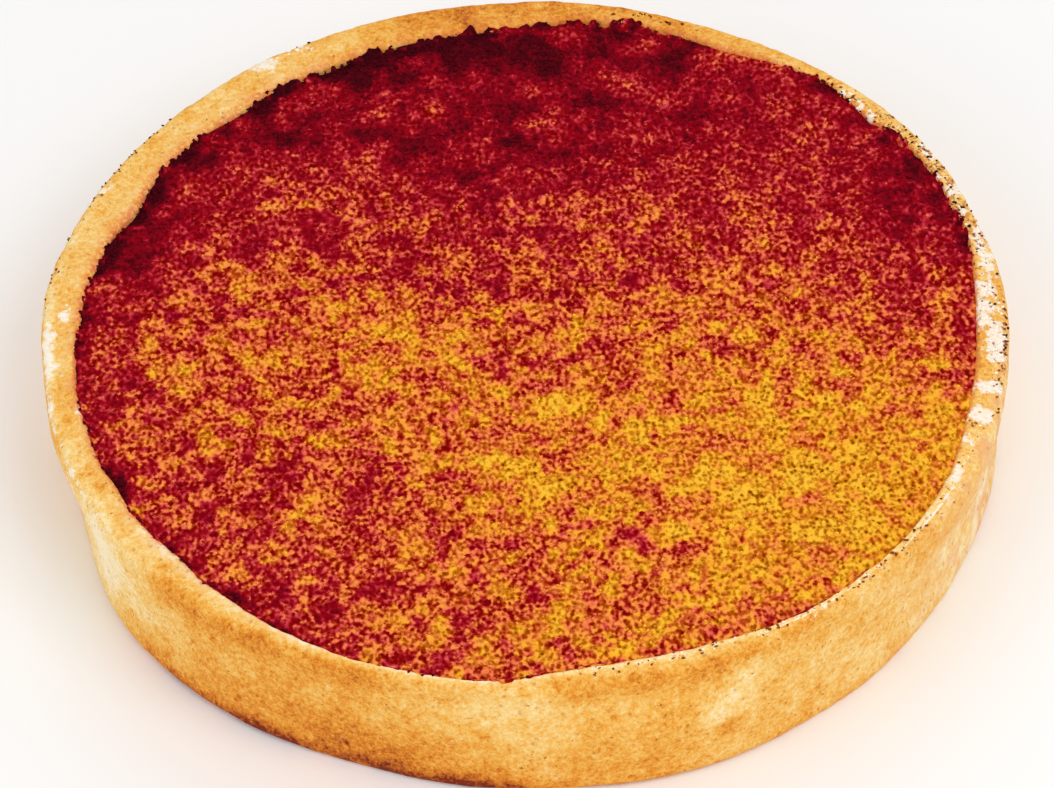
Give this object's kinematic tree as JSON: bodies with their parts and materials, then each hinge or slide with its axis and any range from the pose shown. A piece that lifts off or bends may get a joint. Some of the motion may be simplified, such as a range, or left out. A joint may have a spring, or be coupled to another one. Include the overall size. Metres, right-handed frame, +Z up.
{
  "type": "creme brulee tartlet",
  "caption": "Shallow round shortcrust tartlet with a low rim, filled nearly level with baked custard under a thin burnt sugar top; rests on its flat underside.",
  "frame": {"origin": "middle of the flat underside of the pastry shell", "axes": "+Z up out of the custard's top; +X to the right and -Y towards the side that faces the viewer, where the wall shows"},
  "size_m": [0.0998, 0.0996, 0.0154],
  "materials": {
    "shortcrust": "matte baked shortcrust, golden tan, finely pored",
    "burnt_sugar": "granular burnt sugar over custard, amber speckled with dark red, low gloss"
  },
  "bodies": {
    "root": {"pastry_shell": "shortcrust", "custard_filling": "burnt_sugar"}
  },
  "joints": []
}
